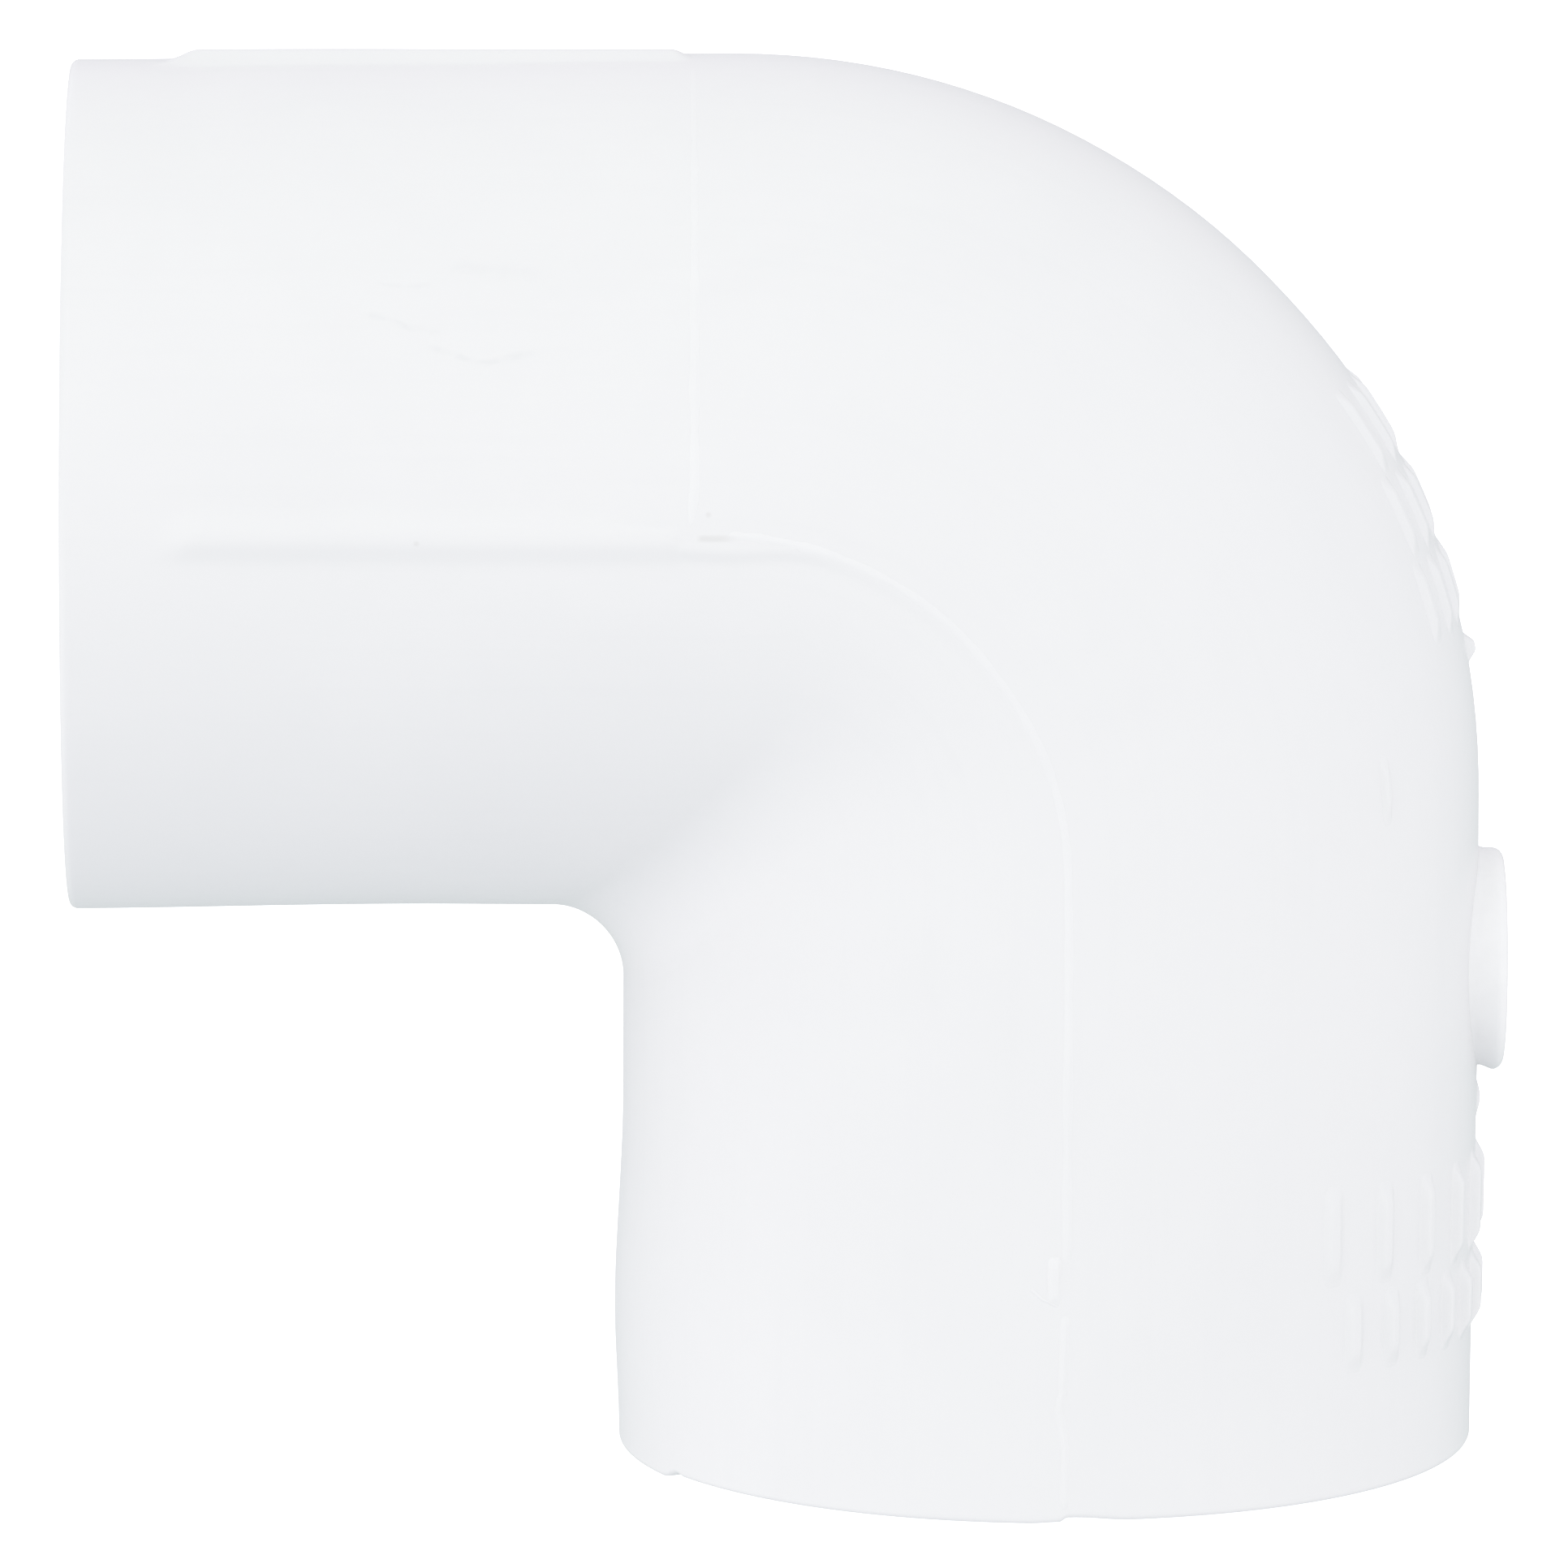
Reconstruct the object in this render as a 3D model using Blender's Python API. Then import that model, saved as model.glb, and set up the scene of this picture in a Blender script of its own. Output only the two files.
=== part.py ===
"""Ninety-degree pipe elbow with two plain sockets, moulded in white PVC.

The elbow is one moulding. It is held here as three solids that meet face to face: the upper socket, the
bend and the lower socket. The flat ends of the bend stand inside the sockets as the stops for the pipes.

Metres, +Z up. The part stands on the lower socket's rim, the upper socket opens to -X, and the origin is
at the middle of the part's box, on the plane that it stands on. Shapes are written about the point where
the axes of the two sockets cross, and an empty carries them to their place.
"""

import math

import bmesh
import bpy

MM = 0.001

# The pipe and the sockets that take it
PIPE_DIAMETER = 26.67 * MM
MOUTH_CLEARANCE = 0.20 * MM
STOP_INTERFERENCE = 0.10 * MM
SOCKET_DEPTH = 23.8 * MM
SOCKET_WALL = 3.2 * MM
MOUTH_CHAMFER = 0.6 * MM
RIM_ROUND = 0.7 * MM

# The bend
CENTRE_TO_STOP = 14.3 * MM
BEND_RADIUS = 12.3 * MM
THROAT_FILLET = 2.7 * MM
THROAT_BLEND = 2.0 * MM
WATERWAY_DIAMETER = 22.2 * MM
WATERWAY_FILLET = 1.2 * MM

# Raised ribs along the upper socket
RIB_WIDTH = 2.3 * MM
RIB_HEIGHT = 0.29 * MM
RIB_FLANK = 0.6 * MM
RIB_FROM_MOUTH = 3.7 * MM
RIB_RAMP = 1.4 * MM
RIB_PLACES = (0.0, 0.5 * math.pi, -0.5 * math.pi)

# The round pad that the mould's gate leaves on the heel
GATE_DIAMETER = 8.5 * MM
GATE_HEIGHT = 1.2 * MM
GATE_ROUND = 0.5 * MM
GATE_BELOW_STOP = 0.15 * MM

# Facets
SIDES = 64
ARC_STEPS = 14
ROUND_STEPS = 4
GATE_SIDES = 32
CUT_BEYOND = 1.0 * MM
SMOOTH_UNDER = math.radians(35)

PVC_COLOUR = (0.88, 0.89, 0.91, 1.0)
PVC_ROUGHNESS = 0.38

# Sizes that follow from the driving ones
MOUTH_RADIUS = (PIPE_DIAMETER + MOUTH_CLEARANCE) / 2
STOP_RADIUS = (PIPE_DIAMETER - STOP_INTERFERENCE) / 2
BODY_RADIUS = MOUTH_RADIUS + SOCKET_WALL
WATERWAY_RADIUS = WATERWAY_DIAMETER / 2
CENTRE_TO_FACE = CENTRE_TO_STOP + SOCKET_DEPTH
GATE_FACE = BODY_RADIUS + GATE_HEIGHT
GATE_DROP = CENTRE_TO_STOP + GATE_BELOW_STOP + GATE_DIAMETER / 2
CUT_REACH = CENTRE_TO_FACE + BODY_RADIUS


def clear_scene():
    for obj in list(bpy.data.objects):
        bpy.data.objects.remove(obj, do_unlink=True)


def white_pvc(name):
    """Plain moulded PVC, slightly blue-white and half gloss."""
    material = bpy.data.materials.new(name)
    material.use_nodes = True
    shader = material.node_tree.nodes["Principled BSDF"]
    shader.inputs["Base Color"].default_value = PVC_COLOUR
    shader.inputs["Roughness"].default_value = PVC_ROUGHNESS
    shader.inputs["Metallic"].default_value = 0.0
    return material


def section_angles():
    """Angles round the section, from the heel side, with the corners of each rib among them."""
    step = 2 * math.pi / SIDES
    foot = RIB_WIDTH / 2 / BODY_RADIUS
    shoulder = (RIB_WIDTH / 2 - RIB_FLANK) / BODY_RADIUS
    angles = []
    for k in range(SIDES):
        angle = math.remainder(k * step, 2 * math.pi)
        if all(abs(math.remainder(angle - rib, 2 * math.pi)) > foot + step / 3 for rib in RIB_PLACES):
            angles.append(angle)
    for rib in RIB_PLACES:
        angles.extend(rib + edge for edge in (-foot, -shoulder, 0.0, shoulder, foot))
    return sorted(angles)


def rib_share(angle):
    """Share of the rib's height at an angle: full on its crown, none past its foot."""
    away = min(abs(math.remainder(angle - rib, 2 * math.pi)) for rib in RIB_PLACES) * BODY_RADIUS
    return min(1.0, max(0.0, (RIB_WIDTH / 2 - away) / RIB_FLANK))


def corner_radius(offset, fillet):
    """Radius on which a line along the wall turns the corner.

    A line that lies `offset` outside the axis turns about the bend's centre, and one that would have to
    turn tighter than the fillet turns on the fillet instead, with a soft passage between the two.
    """
    spare = BEND_RADIUS + offset - fillet
    return fillet + (spare + math.hypot(spare, THROAT_BLEND)) / 2


def upper_ring(angles, distance, radius, rib=0.0):
    """Ring round the upper socket's axis at a distance from the centre, with the ribs standing `rib` high."""
    ring = []
    for angle in angles:
        reach = radius + rib * rib_share(angle)
        ring.append((-distance, reach * math.sin(angle), reach * math.cos(angle)))
    return ring


def lower_ring(angles, distance, radius):
    return [(radius * math.cos(angle), radius * math.sin(angle), -distance) for angle in angles]


def bend_ring(angles, share, radius, fillet, rib=0.0):
    """Ring across the bend, `share` of the way through its quarter turn."""
    turn = share * math.pi / 2
    ring = []
    for angle in angles:
        reach = radius + rib * rib_share(angle)
        offset = reach * math.cos(angle)
        corner = corner_radius(offset, fillet)
        centre = offset - corner
        ring.append(
            (
                centre + corner * math.sin(turn),
                reach * math.sin(angle),
                centre + corner * math.cos(turn),
            )
        )
    return ring


def quarter_round(distance, radius, rounding):
    """(distance, radius) pairs from a flat rim out over its rounded edge to the straight wall."""
    pairs = []
    for k in range(ROUND_STEPS + 1):
        angle = k * math.pi / 2 / ROUND_STEPS
        pairs.append((distance - rounding * (1 - math.cos(angle)), radius - rounding * (1 - math.sin(angle))))
    return pairs


def skin(name, rings):
    """Closed mesh through rings of equally many points, capped flat at both ends."""
    bm = bmesh.new()
    loops = [[bm.verts.new(point) for point in ring] for ring in rings]
    for ring, following in zip(loops, loops[1:]):
        for k in range(len(ring)):
            bm.faces.new((ring[k - 1], ring[k], following[k], following[k - 1]))
    bm.faces.new(loops[0])
    bm.faces.new(reversed(loops[-1]))
    bmesh.ops.recalc_face_normals(bm, faces=bm.faces)
    mesh = bpy.data.meshes.new(name)
    bm.to_mesh(mesh)
    bm.free()
    mesh.shade_smooth()
    mesh.set_sharp_from_angle(angle=SMOOTH_UNDER)
    return mesh


def outer_form(name, rib=0.0):
    """The elbow's outside: two round arms, the swept heel and the filleted throat."""
    angles = section_angles()
    edge = quarter_round(CENTRE_TO_FACE, BODY_RADIUS, RIM_ROUND)
    rib_foot = CENTRE_TO_FACE - RIB_FROM_MOUTH
    rings = [upper_ring(angles, distance, radius) for distance, radius in edge]
    rings.append(upper_ring(angles, rib_foot, BODY_RADIUS))
    rings.append(upper_ring(angles, rib_foot - RIB_RAMP, BODY_RADIUS, rib))
    rings.append(bend_ring(angles, 0.0, BODY_RADIUS, THROAT_FILLET, rib))
    for k in range(1, ARC_STEPS + 1):
        rings.append(bend_ring(angles, k / ARC_STEPS, BODY_RADIUS, THROAT_FILLET))
    rings.extend(lower_ring(angles, distance, radius) for distance, radius in reversed(edge))
    return skin(name, rings)


def socket_bore(name, ring_at):
    """Tapered bore with a chamfered mouth, running on past the pipe's stop."""
    angles = section_angles()
    flare = MOUTH_RADIUS + MOUTH_CHAMFER
    profile = (
        (CENTRE_TO_FACE + CUT_BEYOND, flare + CUT_BEYOND),
        (CENTRE_TO_FACE - MOUTH_CHAMFER, MOUTH_RADIUS),
        (CENTRE_TO_STOP, STOP_RADIUS),
        (CENTRE_TO_STOP - CUT_BEYOND, STOP_RADIUS),
    )
    return skin(name, [ring_at(angles, distance, radius) for distance, radius in profile])


def waterway(name):
    """The passage through the bend, from stop to stop."""
    angles = section_angles()
    end = CENTRE_TO_STOP + CUT_BEYOND
    rings = [upper_ring(angles, end, WATERWAY_RADIUS)]
    rings.extend(
        bend_ring(angles, k / ARC_STEPS, WATERWAY_RADIUS, WATERWAY_FILLET) for k in range(ARC_STEPS + 1)
    )
    rings.append(lower_ring(angles, end, WATERWAY_RADIUS))
    return skin(name, rings)


def region(name, corners):
    """Prism across the part's width, from (x, z) corners."""
    half = BODY_RADIUS + CUT_BEYOND
    return skin(name, [[(x, side, z) for x, z in corners] for side in (-half, half)])


def gate_pad(name):
    """Round pad on the heel, below the bend, with its outer edge rounded and its root inside the wall."""
    angles = [2 * math.pi * k / GATE_SIDES for k in range(GATE_SIDES)]
    profile = quarter_round(GATE_FACE, GATE_DIAMETER / 2, GATE_ROUND)
    profile.append((BODY_RADIUS - SOCKET_WALL / 2, GATE_DIAMETER / 2))
    rings = []
    for x, radius in profile:
        rings.append([(x, radius * math.sin(a), radius * math.cos(a) - GATE_DROP) for a in angles])
    return skin(name, rings)


def place(name, mesh, axes):
    obj = bpy.data.objects.new(name, mesh)
    obj.parent = axes
    bpy.context.scene.collection.objects.link(obj)
    return obj


def helper(name, mesh, axes):
    """Object that only shapes others."""
    obj = place(name, mesh, axes)
    obj.hide_render = True
    obj.display_type = "WIRE"
    return obj


def combine(obj, operation, other):
    modifier = obj.modifiers.new(other.name, "BOOLEAN")
    modifier.operation = operation
    modifier.solver = "EXACT"
    modifier.object = other


def crossing_of_axes():
    """Empty where the socket axes cross, set so that the part's box is centred over the origin."""
    axes = bpy.data.objects.new("socket_axes", None)
    axes.location = ((CENTRE_TO_FACE - GATE_FACE) / 2, 0.0, CENTRE_TO_FACE)
    bpy.context.scene.collection.objects.link(axes)
    return axes


def make_upper_socket(axes):
    stop = CENTRE_TO_STOP
    corners = ((-stop, -stop), (-stop, CUT_REACH), (-CUT_REACH, CUT_REACH), (-CUT_REACH, -CUT_REACH))
    socket = place("upper_socket", outer_form("upper_socket", RIB_HEIGHT), axes)
    socket.data.materials.append(white_pvc("upper_socket_pvc"))
    combine(socket, "INTERSECT", helper("upper_region", region("upper_region", corners), axes))
    combine(socket, "DIFFERENCE", helper("upper_bore", socket_bore("upper_bore", upper_ring), axes))


def make_bend(axes):
    stop = CENTRE_TO_STOP
    corners = ((-stop, -stop), (CUT_REACH, -stop), (CUT_REACH, CUT_REACH), (-stop, CUT_REACH))
    bend = place("bend", outer_form("bend"), axes)
    bend.data.materials.append(white_pvc("bend_pvc"))
    combine(bend, "INTERSECT", helper("bend_region", region("bend_region", corners), axes))
    combine(bend, "DIFFERENCE", helper("waterway", waterway("waterway"), axes))


def make_lower_socket(axes):
    stop = CENTRE_TO_STOP
    corners = ((-stop, -stop), (-CUT_REACH, -CUT_REACH), (CUT_REACH, -CUT_REACH), (CUT_REACH, -stop))
    socket = place("lower_socket", outer_form("lower_socket"), axes)
    socket.data.materials.append(white_pvc("lower_socket_pvc"))
    combine(socket, "UNION", helper("gate_pad", gate_pad("gate_pad"), axes))
    combine(socket, "INTERSECT", helper("lower_region", region("lower_region", corners), axes))
    combine(socket, "DIFFERENCE", helper("lower_bore", socket_bore("lower_bore", lower_ring), axes))


def main():
    clear_scene()
    axes = crossing_of_axes()
    make_upper_socket(axes)
    make_bend(axes)
    make_lower_socket(axes)


main()
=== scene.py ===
"""Looks of a white moulded pipe elbow, laid out as a Blender add-on and run as a script.

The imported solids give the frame. One fine wall stands for all of them, and what the mould leaves on the
real part sits on that wall: ribs, mould lines, the gate's pad and rows of plain raised bars.

Shapes are written about the point where the axes of the two sockets cross: the upper socket runs to -X
and the lower socket to -Z. On a section of the wall, angle 0 is the heel, the outside of the bend, minus
a quarter turn is the front, and half a turn is the throat. `run` counts along the elbow: -1 to 0 down the
upper arm, 0 to 1 round the corner, and 1 to 2 down the lower arm.
"""

import math

import bpy
import numpy as np
from bpy.props import FloatProperty, FloatVectorProperty, PointerProperty
from mathutils import Matrix, Vector


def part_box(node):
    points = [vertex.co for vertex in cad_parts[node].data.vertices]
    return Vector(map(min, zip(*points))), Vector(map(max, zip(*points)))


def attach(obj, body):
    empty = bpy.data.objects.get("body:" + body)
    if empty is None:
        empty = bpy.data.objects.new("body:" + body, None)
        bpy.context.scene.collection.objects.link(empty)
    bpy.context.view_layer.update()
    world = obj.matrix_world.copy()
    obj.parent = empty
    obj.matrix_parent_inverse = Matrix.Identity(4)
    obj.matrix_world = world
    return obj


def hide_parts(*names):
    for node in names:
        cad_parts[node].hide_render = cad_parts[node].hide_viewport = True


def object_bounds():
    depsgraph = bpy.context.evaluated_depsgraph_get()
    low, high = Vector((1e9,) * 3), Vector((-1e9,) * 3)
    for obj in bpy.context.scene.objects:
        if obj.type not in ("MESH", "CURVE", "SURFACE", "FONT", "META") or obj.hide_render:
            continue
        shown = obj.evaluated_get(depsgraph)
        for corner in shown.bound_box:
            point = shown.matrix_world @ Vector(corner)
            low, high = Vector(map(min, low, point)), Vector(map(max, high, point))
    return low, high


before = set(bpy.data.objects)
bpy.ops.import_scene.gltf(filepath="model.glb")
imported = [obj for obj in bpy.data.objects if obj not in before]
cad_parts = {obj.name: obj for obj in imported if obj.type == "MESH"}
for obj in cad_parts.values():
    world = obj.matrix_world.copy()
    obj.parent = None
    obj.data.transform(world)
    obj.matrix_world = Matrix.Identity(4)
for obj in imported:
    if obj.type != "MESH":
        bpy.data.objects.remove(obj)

bl_info = {
    "name": "Moulded pipe elbow",
    "version": (1, 0, 0),
    "blender": (4, 5, 0),
    "location": "View3D > Sidebar > Elbow",
    "description": "Dresses the solids of a white pipe elbow and sets its studio",
    "category": "Object",
}

MM = 0.001
PHOTO_PIXELS = 1932

CAD_LOW, CAD_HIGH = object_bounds()
UPPER_LOW, UPPER_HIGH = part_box("upper_socket")
BEND_LOW, BEND_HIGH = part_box("bend")
LOWER_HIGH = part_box("lower_socket")[1]
BODY_RADIUS = (BEND_HIGH.y - BEND_LOW.y) / 2
AXES = Vector((BEND_HIGH.x - BODY_RADIUS, 0.0, BEND_HIGH.z - BODY_RADIUS))
CENTRE_TO_FACE = AXES.x - UPPER_LOW.x
CENTRE_TO_STOP = AXES.x - UPPER_HIGH.x
RIB_HEIGHT = UPPER_HIGH.z - BEND_HIGH.z
GATE_FACE = LOWER_HIGH.x - AXES.x

# Where the ribs stand round the upper arm, the share of the full height that each has, and how much nearer
# the mouth each starts
RIB_ANGLES = np.radians([-88.4, 0.0, 88.4])
RIB_SHARES = np.array([0.90, 1.0, 0.90])
RIB_EARLY = MM * np.array([0.0, 0.16, 0.0])

# How much later a side rib starts for each length up across it, where a rib starts to fall before the
# stop and is gone past it, and how far its crown makes up for the wall's departures
RIB_SLANT = 0.5
RIB_FALLS, RIB_GONE = 0.50 * MM, 0.40 * MM
RIB_LEVELLING = 0.75

# The mould line down the front: places along the run, and its angle from the middle of the front
LINE_PLACES = np.array(
    [
        (-0.08, 2.45), (0.09, 1.70), (0.24, 1.10), (0.45, 0.55), (0.60, 0.22), (0.88, 0.83), (1.10, 1.24),
        (1.57, 1.28), (1.72, 1.05), (1.795, 0.82), (1.825, 0.42), (1.88, 1.24), (2.00, 1.25),
    ]
)
LINE_RUNS, LINE_ANGLES = LINE_PLACES[:, 0], np.radians(LINE_PLACES[:, 1])

# The low ridge that runs on from a side rib round the bend: places along the run, and its height
RIDGE_RUNS = np.array([-0.24, -0.12, 0.10, 0.25, 0.50, 0.70, 0.95])
RIDGE_HEIGHTS = MM * np.array([0.0, 0.20, 0.15, 0.07, 0.055, 0.04, 0.0])

# The ridge's edge towards the throat, as its foot and its top above the line, first by the rib and later on
# the bend, the runs between which it passes, and the places between which it falls towards the heel
RIDGE_EDGES = MM * np.array([(-1.25, -0.55), (-0.70, -0.10)])
RIDGE_PASSES = (-0.02, 0.16)
RIDGE_FAR, RIDGE_NEAR = 8.0 * MM, 0.2 * MM

# How far the moulding departs from its plain form on the heel's side and on the throat's side
HEEL_RUNS = np.array([-1.0, -0.5, -0.1, 0.3, 0.5, 0.7, 0.85, 1.0, 1.3, 2.0])
HEEL_OUT = MM * np.array([-0.33, -0.20, -0.015, 0.07, 0.116, 0.28, 0.25, 0.20, 0.245, 0.14])
THROAT_RUNS = np.array([-1.0, -0.2, 1.25, 1.70, 2.0])
THROAT_OUT = MM * np.array([0.106, -0.10, -0.05, 0.235, 0.048])

# Depth of the wall's slow waves, and how many depths they lie under the plain form
WAVE_DEPTH, WAVE_SINK = 0.022 * MM, 1.2

# How far on the throat's side of the axis the throat's pinch takes full hold
PINCH_REACH = 4.0 * MM

# The lower rim's step and notch, from where each starts to where it is whole, as cosines of the angle, and
# the lengths above the rim between which they fade
STEP_FOOT, STEP_TOP, STEP_HIGHEST = (-0.06, 0.014), (0.010, 0.030), (0.18, 0.05)
NOTCH_RISE, NOTCH_FALL = (-0.858, -0.870), (-0.872, -0.905)
NOTCH_ANGLES = np.radians([-149.8, 149.8])
RIM_FADE = (1.4 * MM, 0.2 * MM)

# The step's share at its foot, its least share and what is added where it is highest, and how many notches
# the rim drops past the notch
FOOT_SHARE, STEP_LEAST, STEP_ADDED, NOTCH_DROP = 0.35, 0.60, 0.75, 4.6

# Fineness of the wall: steps round it, along its outside and along the waterway, and runs with more detail
WALL_ROUND, WALL_ALONG, WATERWAY_ALONG = 300, 170, 64
BUSY_RUNS = (-0.79, -0.075, 1.98)

# Rows of raised bars: start and end of the run at the row's ends, first angle, number of bars, how far the
# row bows down towards the heel, and the bars' height on the heel
BAR_ROWS = (
    (0.612, 0.682, -15.0, 5, 0.30 * MM, 0.22 * MM),
    (0.694, 0.756, -18.0, 6, 0.45 * MM, 0.22 * MM),
    (0.773, 0.833, -20.0, 7, 0.25 * MM, 0.22 * MM),
    (1.518, 1.655, -50.0, 11, 0.62 * MM, 0.40 * MM),
    (1.690, 1.793, -46.0, 13, 0.30 * MM, 0.42 * MM),
)

# A bar's outline: its flank at the ends in side flanks, the most of a half size that is flank, and the
# power of its superellipse
BAR_END, BAR_SOFTEST, BAR_SQUARENESS = 2.4, 0.85, 0.45

# Loose raised marks: run, angle, half width, half length and height
LOOSE_MARKS = (
    (0.9465, -40.2, 0.30 * MM, 1.45 * MM, 0.17 * MM),
    (0.872, 0.0, 0.60 * MM, 0.62 * MM, 0.36 * MM),
    (1.470, 0.0, 0.80 * MM, 0.85 * MM, 0.14 * MM),
)

# The flake of flash beside the front mould line, and the curl under it: run, and angle from the middle. The
# flake's half width, half length and height, and its soft edge
FLAKE_RUN, FLAKE_ANGLE = 1.624, math.radians(-0.3)
FLAKE_SIZES, FLAKE_FLANK = (0.30 * MM, 1.02 * MM, 0.075 * MM), 0.20 * MM
CURL_RUNS = np.array([1.636, 1.651, 1.663])
CURL_ANGLES = np.radians([-3.5, -2.0, 0.2])

# How deep a bead's feet and its root lie in the wall
BEAD_SUNK, BEAD_ROOT = 0.006 * MM, 0.10 * MM

# The middle mould line's ends, and where the front one breaks off for the flake and goes on
LINE_START, LINE_END = -0.012, 1.992
LINE_BREAKS, LINE_GOES_ON = (1.585, 1.600), (1.690, 1.675)

# The ring mould line: its first and last angle, how far past the stop it lies, and the hook at its end
RING_FIRST, RING_LAST = math.radians(6.5), math.radians(86.8)
RING_PAST_STOP, RING_HOOK = 0.32 * MM, 0.14 * MM

# Dark specks: places along the upper arm and up it, from the crossing of the axes
SPECKS = ((-24.52 * MM, 0.29 * MM), (-13.45 * MM, 1.41 * MM))

# Flow marks on the upper arm, in millimetres from the crossing of the axes: height, how far it wavers, half
# width, strength, the places along between which it comes in and goes out, and its slopes, each as a rise
# and the places along between which it rises
FLOW_MARKS = (
    (8.52, 0.9, 0.20, 0.9, (-26.8, -26.2), (-24.4, -23.4), ((-0.55, -26.6, -23.4),)),
    (6.91, 0.9, 0.22, 1.0, (-24.3, -23.6), (-20.8, -19.6), ((0.55, -22.2, -24.2), (0.35, -22.2, -18.7))),
    (9.69, 0.9, 0.15, 0.6, (-26.2, -25.6), (-24.4, -23.8), ()),
    (10.1, 1.5, 0.45, 0.5, (-23.6, -22.6), (-20.6, -19.4), ()),
)


def length(name, description, default):
    return FloatProperty(name=name, description=description, default=default, unit="LENGTH", precision=6)


def share(name, description, default):
    return FloatProperty(name=name, description=description, default=default, subtype="FACTOR", precision=4)


def bearing(name, description, degrees):
    return FloatProperty(name=name, description=description, default=math.radians(degrees), subtype="ANGLE")


def colour(name, description, default):
    return FloatVectorProperty(
        name=name, description=description, default=default, subtype="COLOR", min=0.0, max=1.0
    )


def point(name, description, millimetres):
    default = tuple(value * MM for value in millimetres)
    return FloatVectorProperty(name=name, description=description, default=default, subtype="TRANSLATION")


class ElbowSizes(bpy.types.PropertyGroup):
    """Sizes of the moulded wall and of what stands on it."""

    body_radius: length("Body radius", "Outside radius of the sockets and the bend", BODY_RADIUS)
    centre_to_face: length("Centre to face", "From the axes' crossing to each rim", CENTRE_TO_FACE)
    centre_to_stop: length("Centre to stop", "From the axes' crossing to each pipe stop", CENTRE_TO_STOP)
    bend_radius: length("Bend radius", "Radius of the bend at the middle of the tube", 12.3 * MM)
    throat_fillet: length("Throat fillet", "Tightest radius in the throat outside", 3.0 * MM)
    throat_blend: length("Throat blend", "How softly the throat passes into the bend", 2.0 * MM)
    throat_pinch: share("Throat pinch", "How much faster corners tighten on the throat's side", 0.3)
    waterway_radius: length("Waterway radius", "Radius of the passage between the stops", 11.1 * MM)
    waterway_fillet: length("Waterway fillet", "Tightest radius in the throat of the passage", 1.2 * MM)
    mouth_radius: length("Mouth radius", "Radius of the socket at its mouth", 13.435 * MM)
    stop_radius: length("Stop radius", "Radius of the socket at the pipe stop", 13.285 * MM)
    mouth_chamfer: length("Mouth chamfer", "Chamfer that leads the pipe in", 0.6 * MM)
    upper_round: length("Upper round", "Rounding of the upper rim's outer edge", 0.32 * MM)
    lower_round: length("Lower round", "Rounding of the lower rim's outer edge", 0.22 * MM)
    ledge_round: length("Ledge round", "Rounding of the stop's inner edge", 0.25 * MM)
    rib_height: length("Rib height", "How far the ribs stand up", RIB_HEIGHT)
    rib_crown: length("Rib crown", "Half width of the flat top of a rib", 0.04 * MM)
    rib_reach: length("Rib reach", "Half width of a rib at its foot", 1.2 * MM)
    rib_from_mouth: length("Rib from mouth", "Bare length between the rim and a rib", 3.65 * MM)
    rib_ramp: length("Rib ramp", "Length over which a rib rises", 1.55 * MM)
    rim_short: length("Rim short", "How much shorter the lower arm came out than its plain form", 0.27 * MM)
    rim_step: length("Rim step", "Step in the lower rim where the mould's halves meet", 0.13 * MM)
    throat_step: length("Throat step", "Notches in the lower rim beside the throat", 0.07 * MM)
    line_width: length("Line width", "Width of the mould lines", 0.47 * MM)
    line_height: length("Line height", "Height of the mould lines", 0.034 * MM)
    bar_width: length("Bar width", "Width of the raised bars at their foot", 1.12 * MM)
    bar_flank: length("Bar flank", "Width of the soft edge round a raised bar", 0.42 * MM)
    gate_radius: length("Gate radius", "Radius of the pad that the gate leaves", 4.33 * MM)
    gate_face: length("Gate face", "From the lower axis to the face of the pad", GATE_FACE)
    gate_drop: length("Gate drop", "From the upper axis down to the middle of the pad", 18.88 * MM)
    gate_round: length("Gate round", "Rounding of the pad's edge", 0.45 * MM)
    gate_neck: length("Gate neck", "How far the pad narrows at its foot, on its lower side", 0.27 * MM)


class PvcFinish(bpy.types.PropertyGroup):
    """Colour and gloss of the white PVC."""

    body: colour("Body", "Main colour of the plastic", (0.797, 0.802, 0.811))
    # Painted light: the pad is a paler copy of the body colour that lights it against the wall's shade, not
    # a mark of the cut
    gate: colour("Gate", "Colour of the pad, which is paler where it was cut", (0.848, 0.852, 0.860))
    # Paler than the body partly as the thin flash's own tint and partly as a painted highlight that
    # brightens the lines
    flash: colour("Flash", "Colour of the thin plastic in the mould lines", (0.814, 0.819, 0.828))
    cloud: colour("Cloud", "Colour where the plastic is a little duller", (0.784, 0.790, 0.800))
    flow: colour("Flow", "Colour in the flow marks", (0.700, 0.712, 0.730))
    # This colour also paints a shadow smear where the front mould line starts
    speck_and_shade: colour("Speck", "Colour of the dark specks", (0.30, 0.28, 0.25))
    roughness: share("Roughness", "Roughness of the moulded skin", 0.36)
    roughness_spread: share("Roughness spread", "How much the roughness varies", 0.14)
    peel: length("Peel", "Depth of the skin's slow waves", 0.006 * MM)
    grain: length("Grain", "Depth of the skin's fine grain", 0.0022 * MM)
    streak: length("Streak", "Depth of the streaks along the mould's pull", 0.0023 * MM)


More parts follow.
